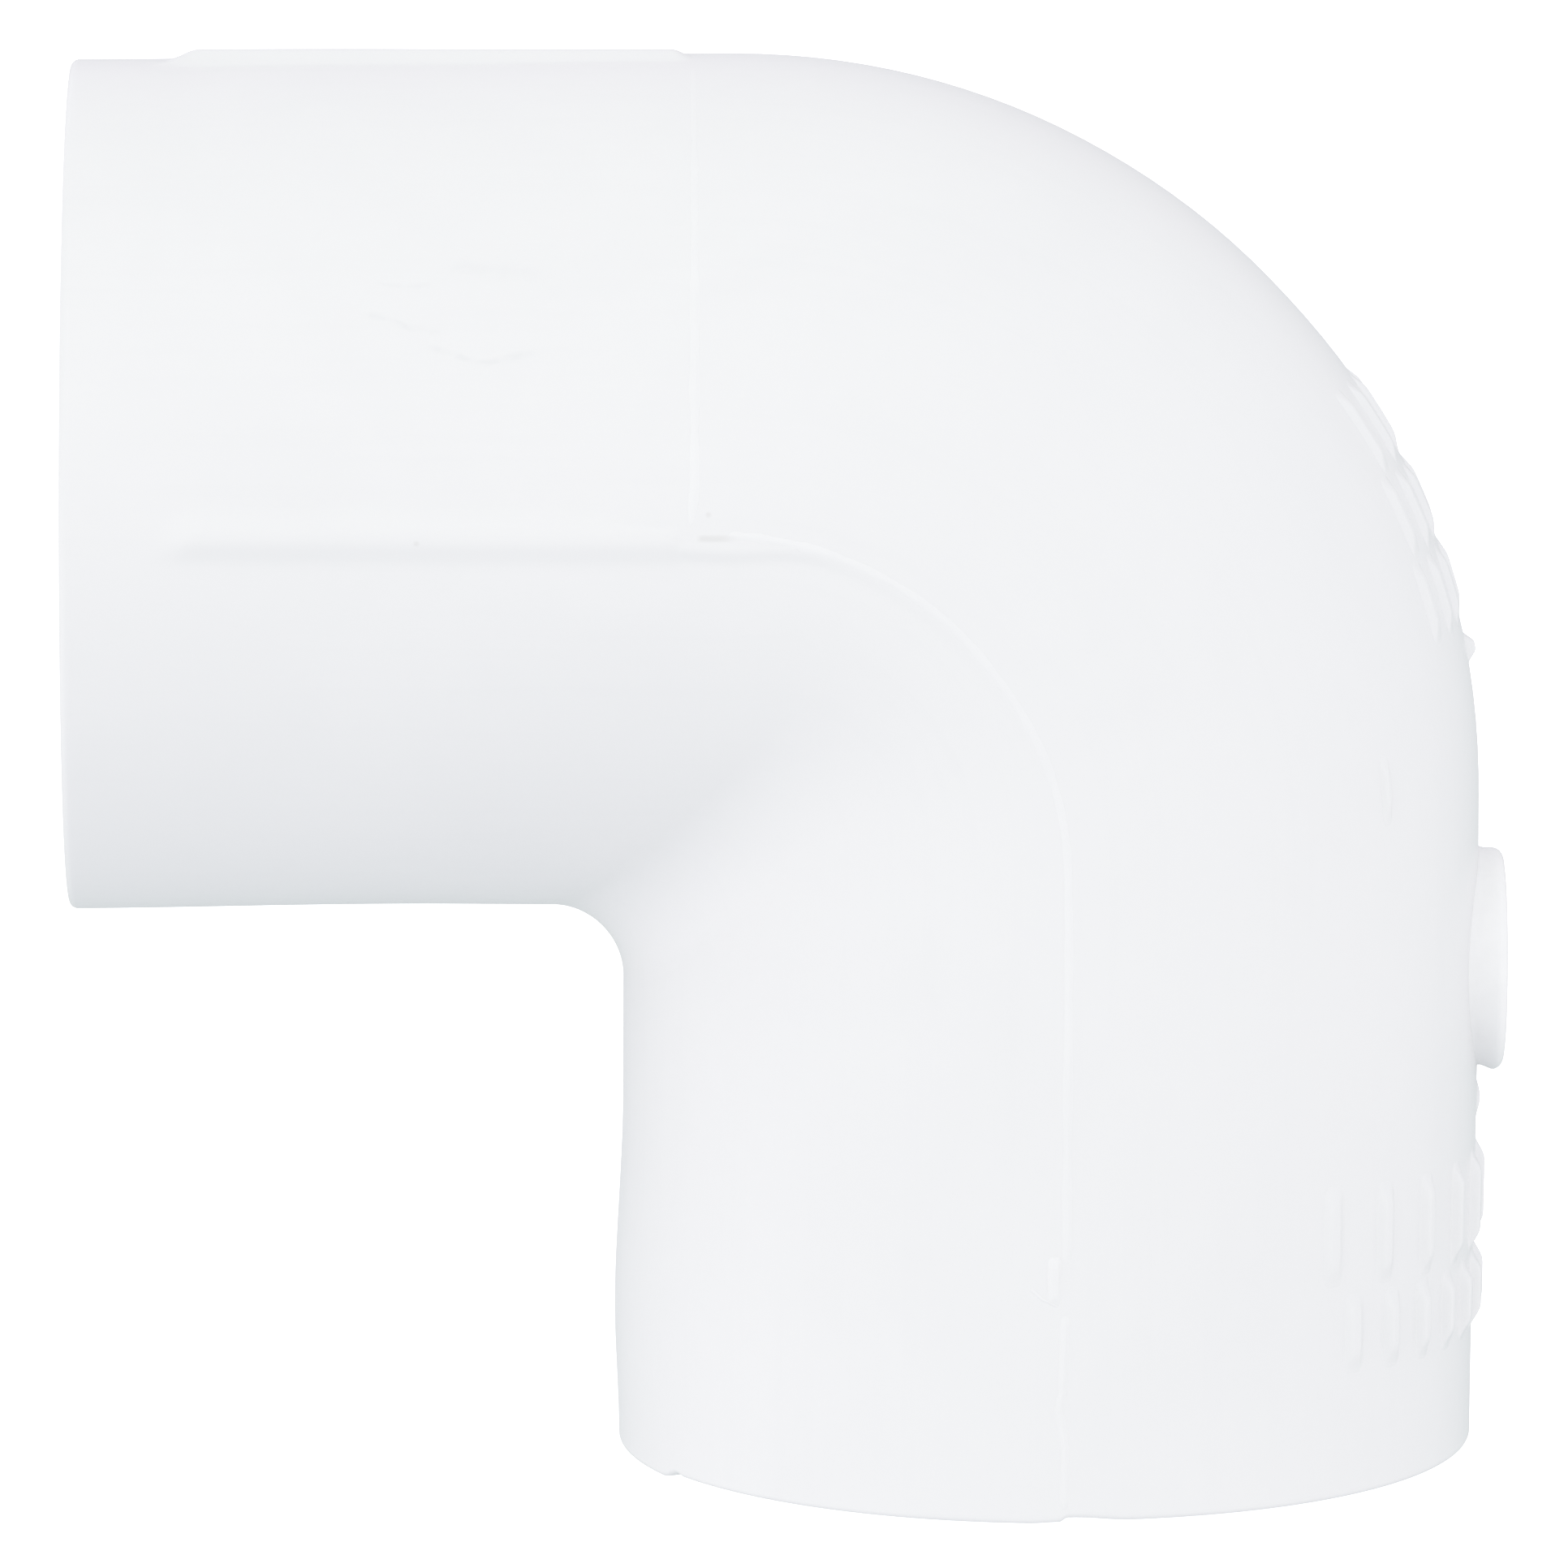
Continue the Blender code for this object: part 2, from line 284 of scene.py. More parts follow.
class StudioStage(bpy.types.PropertyGroup):
    """Floor, light and camera."""

    floor: colour("Floor", "Colour of the floor", (0.80, 0.80, 0.80))
    floor_glow: share("Floor glow", "Light that the floor gives off itself, so that it stays pale", 0.95)
    nadir: colour("Nadir", "Light of the tent straight from below", (0.39, 0.42, 0.445))
    level: colour("Level", "Light of the tent from in front", (0.79, 0.785, 0.785))
    zenith: colour("Zenith", "Light of the tent straight from above", (0.77, 0.77, 0.76))
    left_low: colour("Left low", "Light from the left, below", (1.00, 0.965, 0.98))
    left_high: colour("Left high", "Light from the left, above", (0.45, 0.485, 0.485))
    right_low: colour("Right low", "Light from the right, below", (0.83, 0.805, 0.795))
    right_high: colour("Right high", "Light from the right, above", (0.535, 0.555, 0.595))
    rear_left_low: colour("Rear left low", "Light from the rear left, below", (0.335, 0.38, 0.365))
    rear_left_high: colour("Rear left high", "Light from the rear left, above", (0.695, 0.655, 0.74))
    rear_right_low: colour("Rear right low", "Light from the rear right, below", (0.27, 0.335, 0.335))
    rear_right_high: colour("Rear right high", "Light from the rear right, above", (0.39, 0.365, 0.39))
    tent_strength: share("Tent strength", "Strength of the light from all round", 1.54)
    left_watts: FloatProperty(name="Left", description="Power of the left light", default=0.30, unit="POWER")
    left_size: length("Left size", "Width of that light", 900.0 * MM)
    left_place: point("Left place", "That light's place from the part's middle", (-550.0, -750.0, 450.0))
    azimuth: bearing("Azimuth", "Camera's turn round the part", -0.757)
    elevation: bearing("Elevation", "Camera's height angle", 10.34)
    roll: bearing("Roll", "Camera's turn about its view", 0.27)
    distance: length("Distance", "From the camera to the point it looks at", 666.9 * MM)
    focal_pixels: FloatProperty(
        name="Focal length", description="Focal length in the photograph's pixels", default=21058.0
    )
    target: point("Target", "Point the camera looks at, from the axes' crossing", (-10.31, 0.0, -12.01))


def smooth(low, high, value):
    """0 below `low`, 1 above `high`, and 3t^2 - 2t^3 of the share t between them."""
    part = np.clip((value - low) / (high - low), 0.0, 1.0)
    return part * part * (3.0 - 2.0 * part)


def crowded(low, high, count, places, width, extra):
    """Rising values from low to high that lie closer together near the places.

    They are equal steps of the running total of a density, which is 1 plus `extra` times a bell of
    `width` at each place.
    """
    fine = np.linspace(low, high, 6000)
    bells = np.exp(-(((fine[:, None] - np.asarray(places)[None, :]) / width) ** 2))
    total = np.cumsum(1.0 + extra * bells.sum(axis=1))
    total -= total[0]
    return np.interp(np.linspace(0.0, total[-1], count), total, fine)


def turned(angle):
    """The same angle between minus and plus half a turn."""
    return np.angle(np.exp(1j * angle))


def ripple(angle, along, seed):
    """Slow unevenness between about -1 and 1: a sum of seeded sines round the section and along it."""
    pick = np.random.default_rng(seed)
    waves = pick.integers(1, 6, 7)
    rates = pick.uniform(60.0, 320.0, 7)
    phases = pick.uniform(0.0, 2 * math.pi, 7)
    angle, along = np.broadcast_arrays(angle, along)
    swing = np.sin(waves * angle[..., None] + rates * along[..., None] + phases)
    return swing.sum(axis=-1) / 3.5


def eased(place, knots, values):
    """Curve through values at knots, level at each, by 3t^2 - 2t^3 of the share t between two knots."""
    left = np.clip(np.searchsorted(knots, place) - 1, 0, len(knots) - 2)
    part = smooth(0.0, 1.0, (place - knots[left]) / (knots[left + 1] - knots[left]))
    return values[left] + (values[left + 1] - values[left]) * part


def outside_throat(sizes):
    """Fillet and pinch of the wall's outside in the throat."""
    return sizes.throat_fillet, sizes.throat_pinch


def corner_radius(offset, throat, sizes):
    """Radius on which a line along the wall turns the corner, with the throat's fillet and pinch.

    A line that lies `offset` outside the axis turns about the bend's centre: s = bend + offset - fillet,
    and the radius is fillet + (s + hypot(s, blend)) / 2, which never falls under the fillet. On the
    throat's side s falls faster by the pinch, so that the crease reaches further out of the throat.
    """
    fillet, pinch = throat
    faster = pinch * smooth(0.0, -PINCH_REACH, offset) * np.minimum(offset, 0.0)
    spare = sizes.bend_radius + offset + faster - fillet
    return fillet + (spare + np.hypot(spare, sizes.throat_blend)) / 2


def elbow_points(angle, run, radius, reach, throat, sizes):
    """Points of a tube that goes round the elbow.

    The line at an angle lies n = radius * cos(angle) outside the axis and y = radius * sin(angle) across.
    It runs straight from -reach on the upper arm to the corner's start, turns a quarter of a circle of the
    corner's radius, and runs straight down to -reach on the lower arm.
    """
    offset = radius * np.cos(angle)
    corner = corner_radius(offset, throat, sizes)
    centre = offset - corner
    turn = np.clip(run, 0.0, 1.0) * math.pi / 2
    x = centre + corner * np.sin(turn) - np.clip(-run, 0.0, 1.0) * (reach + centre)
    z = centre + corner * np.cos(turn) - np.clip(run - 1.0, 0.0, 1.0) * (reach + centre)
    return np.stack(np.broadcast_arrays(x, radius * np.sin(angle), z), axis=-1)


def arm_reach(run, sizes):
    """From the crossing of the axes to where each arm's rim starts to round."""
    return sizes.centre_to_face - np.where(run > 0.5, sizes.lower_round, sizes.upper_round)


def wall_per_run(angle, run, sizes):
    """Length of the wall's outside, along a line at an angle, for one unit of run."""
    offset = sizes.body_radius * np.cos(angle)
    corner = corner_radius(offset, outside_throat(sizes), sizes)
    on_arm = (run < 0.0) | (run > 1.0)
    return np.where(on_arm, arm_reach(run, sizes) + offset - corner, corner * math.pi / 2)


def straight_length(run, reach, sizes):
    """Distance along the elbow's axis at a run, measured from the start of the corner."""
    arm = reach - sizes.bend_radius
    arc = sizes.bend_radius * math.pi / 2
    return np.minimum(run, 0.0) * arm + np.clip(run, 0.0, 1.0) * arc + np.maximum(run - 1.0, 0.0) * arm


def rib_profile(x, angle, sizes):
    """Shape of the ribs on the upper arm, from 0 beside a rib to its share of the height on its crown.

    Across a rib it is half a cosine wave from the crown's edge to the foot. Along the arm it rises over
    the ramp, later on the rib's upper side, and falls to nothing at the stop's plane.
    """
    across = turned(angle[..., None] - RIB_ANGLES) * sizes.body_radius
    flank = np.clip((np.abs(across) - sizes.rib_crown) / (sizes.rib_reach - sizes.rib_crown), 0.0, 1.0)
    slant = RIB_SLANT * across * np.sign(RIB_ANGLES)
    from_mouth = (sizes.centre_to_face + x)[..., None] + slant + RIB_EARLY
    ramp = smooth(sizes.rib_from_mouth, sizes.rib_from_mouth + sizes.rib_ramp, from_mouth)
    ended = smooth(-RIB_FALLS, RIB_GONE, x + sizes.centre_to_stop)[..., None]
    return (0.5 * (1.0 + np.cos(math.pi * flank)) * ramp * (1.0 - ended) * RIB_SHARES).sum(axis=-1)


def ridge_rise(angle, run, sizes):
    """Height of the ridge that runs on from each side rib, round the bend, under the mould line.

    Towards the throat it falls away within a millimetre or so, under the rib's foot at first and later on
    right under the line. Towards the heel it falls over several millimetres, and on the bend it fades out.
    """
    line = math.pi / 2 - np.interp(run, LINE_RUNS, LINE_ANGLES)
    above = (line - np.abs(turned(angle))) * sizes.body_radius
    passed = smooth(*RIDGE_PASSES, run)
    foot, top = (first + (later - first) * passed for first, later in RIDGE_EDGES.T)
    fall = smooth(RIDGE_FAR, RIDGE_NEAR, above)
    return smooth(foot, top, above) * fall * eased(run, RIDGE_RUNS, RIDGE_HEIGHTS)


def outer_points(angle, run, lift, sizes):
    """Outside of the wall, `lift` above its plain form.

    The radius is the body's, plus its departures on the heel's and the throat's sides, the ribs and their
    ridges, and slow waves of a few hundredths of a millimetre. The ribs' crowns stay nearly level where the
    wall falls away under them.
    """
    angle, run = np.broadcast_arrays(angle, run)
    reach = arm_reach(run, sizes)
    plain = elbow_points(angle, run, sizes.body_radius, reach, outside_throat(sizes), sizes)
    heel = np.clip(np.cos(angle), 0.0, 1.0) ** 2
    throat = np.clip(-np.cos(angle), 0.0, 1.0) ** 2
    departure = heel * eased(run, HEEL_RUNS, HEEL_OUT) + throat * eased(run, THROAT_RUNS, THROAT_OUT)
    waves = WAVE_DEPTH * (ripple(angle, straight_length(run, reach, sizes), 3) - WAVE_SINK)
    rib = rib_profile(plain[..., 0], angle, sizes) * (sizes.rib_height - RIB_LEVELLING * departure)
    raised = np.maximum(rib, ridge_rise(angle, run, sizes))
    radius = sizes.body_radius + departure + waves + raised + lift
    return elbow_points(angle, run, radius, reach, outside_throat(sizes), sizes)


def rim_lift(angle, sizes):
    """How much shorter the lower rim is: a step at the heel's half, and a notch each side of the throat.

    The step is highest where the mould's halves meet. Past the notch the rim runs lower than before it.
    """
    side = np.cos(angle)
    step = FOOT_SHARE * smooth(*STEP_FOOT, side) + smooth(*STEP_TOP, side)
    step = step * (STEP_LEAST + STEP_ADDED * smooth(*STEP_HIGHEST, side))
    notch = smooth(*NOTCH_RISE, side) - NOTCH_DROP * smooth(*NOTCH_FALL, side)
    return sizes.rim_short + sizes.rim_step * step + sizes.throat_step * notch


def shortened(points, angle, sizes):
    """Points with the lower rim's lift, which fades out within the last millimetre or so above the rim."""
    lift = smooth(*RIM_FADE, sizes.centre_to_face + points[..., 2]) * rim_lift(angle, sizes)
    return points + lift[..., None] * np.array([0.0, 0.0, 1.0])


def arm_ring(angle, distance, radius, on_lower):
    """Rings about one arm's axis, at distances from the crossing of the axes."""
    offset = radius * np.cos(angle)
    across = radius * np.sin(angle)
    down = np.broadcast_to(-distance, offset.shape)
    return np.stack((offset, across, down) if on_lower else (down, across, offset), axis=-1)


def socket_profile(edge, sizes):
    """(distance, radius) pairs from just past the rounded rim's start to the edge of the waterway.

    Quarter round of the rim by `edge`, flat, chamfer, tapered bore, flat stop, and the stop's rounded inner
    edge.
    """
    face = sizes.centre_to_face
    turn = np.linspace(0.0, math.pi / 2, 8)[1:]
    distance = [face - edge + edge * np.sin(turn)]
    radius = [sizes.body_radius - edge + edge * np.cos(turn)]
    flare = sizes.mouth_radius + sizes.mouth_chamfer
    middle = 0.5 * (flare + sizes.body_radius)
    half_chamfer = 0.5 * sizes.mouth_chamfer
    distance.append(np.array([face, face, face, face - half_chamfer]))
    radius.append(np.array([sizes.body_radius - 1.2 * edge, middle, flare, flare - half_chamfer]))
    depth = np.linspace(face - sizes.mouth_chamfer, sizes.centre_to_stop, 22)
    distance.append(depth)
    radius.append(np.interp(depth, [sizes.centre_to_stop, face], [sizes.stop_radius, sizes.mouth_radius]))
    inner = sizes.waterway_radius + sizes.ledge_round
    distance.append(np.full(3, sizes.centre_to_stop))
    radius.append(np.linspace(sizes.stop_radius, inner, 4)[1:])
    lip = np.linspace(0.0, math.pi / 2, 5)[1:]
    distance.append(sizes.centre_to_stop - sizes.ledge_round * (1.0 - np.cos(lip)))
    radius.append(inner - sizes.ledge_round * np.sin(lip))
    return np.concatenate(distance)[:, None], np.concatenate(radius)[:, None]


def socket_rings(angle, last, edge, on_lower, sizes):
    """Distances and rings of a socket from its rim inwards.

    The rings start from the outside's last row, and its departure from the plain form fades out across the
    rim's face.
    """
    distance, radius = socket_profile(edge, sizes)
    plain = arm_ring(angle, sizes.centre_to_face - edge, sizes.body_radius, on_lower)[0]
    fade = smooth(sizes.stop_radius, sizes.body_radius, radius)[..., None]
    return distance, arm_ring(angle, distance, radius, on_lower) + (last - plain) * fade


def elbow_wall(sizes):
    """The whole moulded wall as one closed surface of (place along the section's loop, angle).

    Each angle's loop runs down the outside from rim to rim, in through the lower socket, back through the
    waterway, and out through the upper socket. Returns the points, and for the finish the place of each
    point on the elbow pulled straight.
    """
    edges = np.concatenate([RIB_ANGLES, NOTCH_ANGLES])
    angle = crowded(-math.pi, math.pi, WALL_ROUND + 1, edges, math.radians(4.5), 4.0)[None, :-1]
    run = crowded(-1.0, 2.0, WALL_ALONG, BUSY_RUNS, 0.03, 5.0)[:, None]
    outside = outer_points(angle, run, 0.0, sizes)
    lower_distance, lower = socket_rings(angle, outside[-1], sizes.lower_round, True, sizes)
    upper_distance, upper = socket_rings(angle, outside[0], sizes.upper_round, False, sizes)
    inner_reach = sizes.centre_to_stop - sizes.ledge_round
    inner_run = np.linspace(2.0, -1.0, WATERWAY_ALONG)[1:-1, None]
    inside_throat = (sizes.waterway_fillet, 0.0)
    inside = elbow_points(angle, inner_run, sizes.waterway_radius, inner_reach, inside_throat, sizes)
    rows = shortened(np.concatenate([outside, lower, inside, upper[::-1]]), angle, sizes)
    bent = straight_length(1.0, inner_reach, sizes)
    along = np.concatenate(
        [
            straight_length(run, arm_reach(run, sizes), sizes),
            bent + lower_distance - sizes.bend_radius,
            straight_length(inner_run, inner_reach, sizes),
            sizes.bend_radius - upper_distance[::-1],
        ]
    )
    pulled = np.empty(rows.shape)
    pulled[..., 0] = sizes.body_radius * np.cos(angle)
    pulled[..., 1] = sizes.body_radius * np.sin(angle)
    pulled[..., 2] = along
    return rows, pulled


def gate_pad(sizes):
    """The gate's pad as rings about its own axis.

    Its profile goes from a root inside the wall, over a small fillet, up a side that leans out where it
    was cut, on its lower side, and over a quarter round to a face with a shallow dish. Rows near the foot
    follow the round of the wall, x = sqrt(R^2 - y^2), and rows near the face lie flat.
    """
    edge = np.linspace(0.0, math.pi / 2, 7)
    run = 1.0 + (sizes.gate_drop - sizes.bend_radius) / (arm_reach(2.0, sizes) - sizes.bend_radius)
    wall = sizes.body_radius + eased(run, HEEL_RUNS, HEEL_OUT) - 0.02 * MM
    rise = sizes.gate_face - wall
    inner = sizes.gate_radius - sizes.gate_round
    foot = np.array([-0.90, -0.03, 0.04, 0.13, 0.26, 0.42]) * MM
    dish = np.array([0.0, 0.015, 0.035, 0.05, 0.055]) * MM
    height = np.concatenate([foot, rise - sizes.gate_round * (1.0 - np.sin(edge)), rise - dish])[:, None]
    fillet = np.array([0.09, 0.09, 0.06, 0.025, 0.005, 0.0]) * MM
    face = inner * np.array([0.93, 0.75, 0.5, 0.2, 0.03])
    rounded = inner + sizes.gate_round * np.cos(edge)
    spread = np.concatenate([sizes.gate_radius + fillet, rounded, face])[:, None]
    turn = np.linspace(0.0, 2 * math.pi, 97)[None, :-1]
    lower = 0.5 * (1.0 - np.cos(turn))
    spread = spread - sizes.gate_neck * lower**2 * smooth(0.65 * MM, -0.10 * MM, height)
    out_of_round = 0.005 * np.sin(2 * turn + 0.7) + 0.003 * np.sin(5 * turn)
    spread = spread * (1.0 + out_of_round)
    y = spread * np.sin(turn)
    z = spread * np.cos(turn) - sizes.gate_drop
    flat = smooth(0.2 * MM, rise - sizes.gate_round, height)
    x = (1.0 - flat) * np.sqrt(wall**2 - y**2) + flat * wall + height
    return np.stack([np.minimum(x, sizes.gate_face), y, z], axis=-1)


def bead(angle, run, width, height, sizes):
    """Low soft ridge carried along a line of angles and runs on the wall.

    A section goes (width / 2) s to the side on the wall's own surface, square to the line, and up from it.
    Over the top, s goes from -1 to 1 and up is height cos^2(pi s / 2), so its feet pass softly into the
    wall, and it closes underneath, in the wall.
    """
    per_run = wall_per_run(angle, run, sizes)
    forward = np.stack([sizes.body_radius * np.gradient(angle), per_run * np.gradient(run)])
    forward /= np.linalg.norm(forward, axis=0)
    place = np.linspace(1.0, -1.0, 13)
    across = np.concatenate([place, [-0.7, 0.7]])
    over = np.concatenate([np.cos(0.5 * math.pi * place) ** 2, [0.0, 0.0]])
    sunk = np.concatenate([np.full(13, BEAD_SUNK), [BEAD_ROOT, BEAD_ROOT]])
    up = height[:, None] * over - sunk
    side = 0.5 * width[:, None] * across
    angle = angle[:, None] + forward[1][:, None] * side / sizes.body_radius
    run = run[:, None] - forward[0][:, None] * side / per_run[:, None]
    return shortened(outer_points(angle, run, up, sizes), angle, sizes)


def uneven(count, seed, least, most):
    """Seeded slow noise along a line, between least and most: random knots joined by a smooth curve."""
    pick = np.random.default_rng(seed)
    knots = pick.uniform(0.0, 1.0, max(4, count // 6))
    place = np.linspace(0.0, len(knots) - 1.001, count)
    left = place.astype(int)
    part = smooth(0.0, 1.0, place - left)
    return least + (most - least) * (knots[left] * (1.0 - part) + knots[left + 1] * part)


def tapered(count, ends):
    """1 along a line, falling to almost nothing over `ends` of it at each end, as a quarter circle does."""
    place = np.linspace(0.0, 1.0, count)
    near = np.clip(np.minimum(place, 1.0 - place) / ends, 0.0, 1.0)
    return np.sqrt(np.clip(1.0 - (1.0 - near) ** 2, 0.0, 1.0)) * 0.98 + 0.02


def mould_line(angle, run, seed, ends, widths, heights, strong, sizes):
    """Bead of a mould line, uneven in width and height, that tapers off over `ends` of it."""
    taper = tapered(len(run), ends)
    width = sizes.line_width * uneven(len(run), seed, *widths) * taper
    height = sizes.line_height * uneven(len(run), seed + 1, *heights) * taper
    return bead(angle, run, width, height * strong, sizes)


def middle_line(side, sizes):
    """Mould line down the middle of the front (side -1) or the back (side 1), from the rib to the rim.

    It is stronger on the lower arm. On the front it is broken where the flake lies.
    """
    run = crowded(LINE_START, LINE_END, 420, [1.81, 0.0], 0.03, 3.0)
    angle = side * (math.pi / 2 - np.interp(run, LINE_RUNS, LINE_ANGLES))
    seed = 11 if side < 0 else 23
    broken = smooth(*LINE_BREAKS, run) * smooth(*LINE_GOES_ON, run) if side < 0 else 0.0
    strong = (0.8 + 0.6 * smooth(1.0, 1.3, run)) * (1.0 - 0.95 * broken)
    return mould_line(angle, run, seed, 0.012, (0.85, 1.15), (0.75, 1.20), strong, sizes)


def ring_line(side, sizes):
    """Mould line round the upper arm at the stop, from the top rib down to the front or back rib."""
    angle = side * np.linspace(RING_FIRST, RING_LAST, 200)
    hook = RING_HOOK * smooth(1.42, 1.52, np.abs(angle))
    x = RING_PAST_STOP - sizes.centre_to_stop - hook
    offset = sizes.body_radius * np.cos(angle)
    centre = offset - corner_radius(offset, outside_throat(sizes), sizes)
    run = (x - centre) / (sizes.centre_to_face - sizes.upper_round + centre)
    seed = 31 if side < 0 else 47
    fade = 0.25 + 0.75 * smooth(math.radians(25), math.radians(65), np.abs(angle))
    return mould_line(angle, run, seed, 0.04, (0.8, 1.2), (0.6, 1.2), fade, sizes)


def raised_bars(angle, run, half_across, half_along, height, flank, sizes):
    """Soft-edged bars that lie on the wall, many at once, each as rings of a superellipse.

    A ring's half sizes go from almost nothing to the bar's own less its flank, where up is the height, and
    on over the flank, where up falls by 3t^2 - 2t^3, to a last ring sunk in the wall. The flank is wider at
    a bar's ends. Across turns into an angle and along into a run.
    """
    top = np.array([0.04, 0.55] + [1.0] * 9)[None, :, None]
    part = np.array([0.0, 0.0, 0.0, 0.14, 0.28, 0.43, 0.57, 0.72, 0.86, 1.0, 1.0])[None, :, None]
    sunk = np.array([0.0] * 7 + [0.002, 0.004, 0.008, 0.12])[None, :, None] * MM
    turn = np.linspace(0.0, 2 * math.pi, 45)[None, None, :-1]
    sides = []
    ways = ((half_across, flank, np.cos(turn)), (half_along, BAR_END * flank, np.sin(turn)))
    for half, edge, wave in ways:
        soft = np.minimum(edge, BAR_SOFTEST * half)[:, None, None]
        spread = (half[:, None, None] - soft) * top + soft * part
        sides.append(spread * np.sign(wave) * np.abs(wave) ** BAR_SQUARENESS)
    across, along = sides
    up = height[:, None, None] * (1.0 - smooth(0.0, 1.0, part)) - sunk
    per_run = wall_per_run(angle, run, sizes)[:, None, None]
    place = angle[:, None, None] + across / sizes.body_radius
    return outer_points(place, run[:, None, None] + along / per_run, up, sizes)


def bar_rows(sizes):
    """Angle, run, half width, half length and height of every raised bar and loose mark.

    The rows bow down to the heel. The mould pulls straight off the heel, so a bar at an angle from it
    stands up by the height times the angle's cosine squared.
    """
    bars = []
    for start, end, first, count, bow, height in BAR_ROWS:
        per_run = wall_per_run(0.0, start, sizes)
        place = np.linspace(1.0, -1.0, count)
        angle = np.radians(first) * place
        run = 0.5 * (start + end) + bow / per_run * (1.0 - place**2)
        half_width = np.full(count, 0.5 * sizes.bar_width)
        half_length = np.full(count, 0.5 * (end - start) * per_run + 0.8 * sizes.bar_flank)
        bars.append(np.column_stack([angle, run, half_width, half_length, height * np.cos(angle) ** 2]))
    loose = np.array(LOOSE_MARKS)
    bars.append(np.column_stack([np.radians(loose[:, 1]), loose[:, 0], loose[:, 2:]]))
    return np.concatenate(bars).T


def flash_flake(sizes):
    """Flake of flash that lies beside the front mould line, low on the lower arm: a soft-edged plate."""
    plate = [FLAKE_ANGLE - math.pi / 2, FLAKE_RUN, *FLAKE_SIZES]
    return raised_bars(*np.array(plate)[:, None], FLAKE_FLANK, sizes)[0]


def flash_curl(sizes):
    """Thin curl of flash that hangs from the flake's foot."""
    run = np.linspace(CURL_RUNS[0], CURL_RUNS[-1], 40)
    angle = np.interp(run, CURL_RUNS, CURL_ANGLES) - math.pi / 2
    ends = tapered(len(run), 0.25)
    width = 0.20 * MM * uneven(len(run), 5, 0.85, 1.1) * ends
    height = 0.035 * MM * uneven(len(run), 6, 0.7, 1.1) * ends
    return bead(angle, run, width, height, sizes)


def grid_faces(rows, columns, closed):
    """Quads of a grid whose columns run round, and whose last row meets the first where it is closed."""
    row = np.arange(rows if closed else rows - 1)[:, None]
    column = np.arange(columns)[None, :]
    below = (row + 1) % rows
    beside = (column + 1) % columns
    upper = (row * columns + column, row * columns + beside)
    lower = (below * columns + beside, below * columns + column)
    return np.stack(upper + lower, axis=-1).reshape(-1, 4)


def capped_faces(rows, columns):
    """Faces of a tube of rings with a flat cap at each end."""
    faces = grid_faces(rows, columns, False).tolist()
    faces.append(list(range(columns))[::-1])
    faces.append(list(range((rows - 1) * columns, rows * columns)))
    return faces


def enclosed_volume(points, faces):
    """Signed volume inside the faces: the sum of the tetrahedra from the origin to their triangles."""
    corners = points[faces]
    first = np.einsum("ij,ij->i", corners[:, 0], np.cross(corners[:, 1], corners[:, 2]))
    second = np.einsum("ij,ij->i", corners[:, 0], np.cross(corners[:, 2], corners[:, 3]))
    return (first + second).sum() / 6


def make_piece(name, points, faces, pulled, material):
    """A piece of the elbow: mesh at its place in the frame, its finish, and what carries it."""
    quads = np.array([face for face in faces if len(face) == 4])
    if enclosed_volume(points, quads) < 0:
        faces = [face[::-1] for face in faces]
    mesh = bpy.data.meshes.new(name)
    mesh.from_pydata((points + np.array(AXES)).tolist(), [], faces)
    straight = mesh.attributes.new("pulled_straight", "FLOAT_VECTOR", "POINT")
    straight.data.foreach_set("vector", pulled.ravel())
    mesh.shade_smooth()
    mesh.set_sharp_from_angle(angle=math.radians(38))
    if mesh.validate():
        raise RuntimeError(f"the mesh of {name} had faults")
    piece = bpy.data.objects.new(name, mesh)
    bpy.context.scene.collection.objects.link(piece)
    mesh.materials.append(material)
    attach(piece, "root")
    return piece


def make_tubes(name, tubes, material):
    """One piece from several capped tubes of rings."""
    points, faces, start = [], [], 0
    for tube in tubes:
        rows, columns = tube.shape[:2]
        faces.extend([[start + corner for corner in face] for face in capped_faces(rows, columns)])
        points.append(tube.reshape(-1, 3))
        start += rows * columns
    points = np.concatenate(points)
    return make_piece(name, points, faces, points, material)


class Wire:
    """A shader socket that takes part in Python expressions."""

    def __init__(self, tree, socket=None):
        self.tree = tree
        self.socket = socket

    def node(self, kind, settings=None, sockets=None, output=0):
        """A new node of a kind: its settings are set first, then the values or links of its sockets."""
        made = self.tree.nodes.new(kind)
        for key, value in (settings or {}).items():
            if key == "stops":
                stops = made.color_ramp.elements
                stops[0].position, stops[1].position = value[0][0], value[-1][0]
                for position, _ in value[1:-1]:
                    stops.new(position)
                for stop, (position, tint) in zip(stops, value):
                    stop.color = tint
            else:
                setattr(made, key, value)
        for key, value in (sockets or {}).items():
            if isinstance(value, Wire):
                self.tree.links.new(value.socket, made.inputs[key])
            else:
                made.inputs[key].default_value = value
        return Wire(self.tree, made.outputs[output])

    def maths(self, operation, first, second=0.0):
        return self.node("ShaderNodeMath", {"operation": operation}, {0: first, 1: second})

    def __add__(self, other):
        return self.maths("ADD", self, other)

    __radd__ = __add__

    def __sub__(self, other):
        return self.maths("SUBTRACT", self, other)

    def __rsub__(self, other):
        return self.maths("SUBTRACT", other, self)

    def __mul__(self, other):
        return self.maths("MULTIPLY", self, other)

    __rmul__ = __mul__

    def __abs__(self):
        return self.maths("ABSOLUTE", self)

    def step(self, low, high):
        """0 at low and 1 at high, smooth between them."""
        settings = {"interpolation_type": "SMOOTHSTEP"}
        return self.node("ShaderNodeMapRange", settings, {"Value": self, "From Min": low, "From Max": high})


def rgba(value):
    return (*value, 1.0)


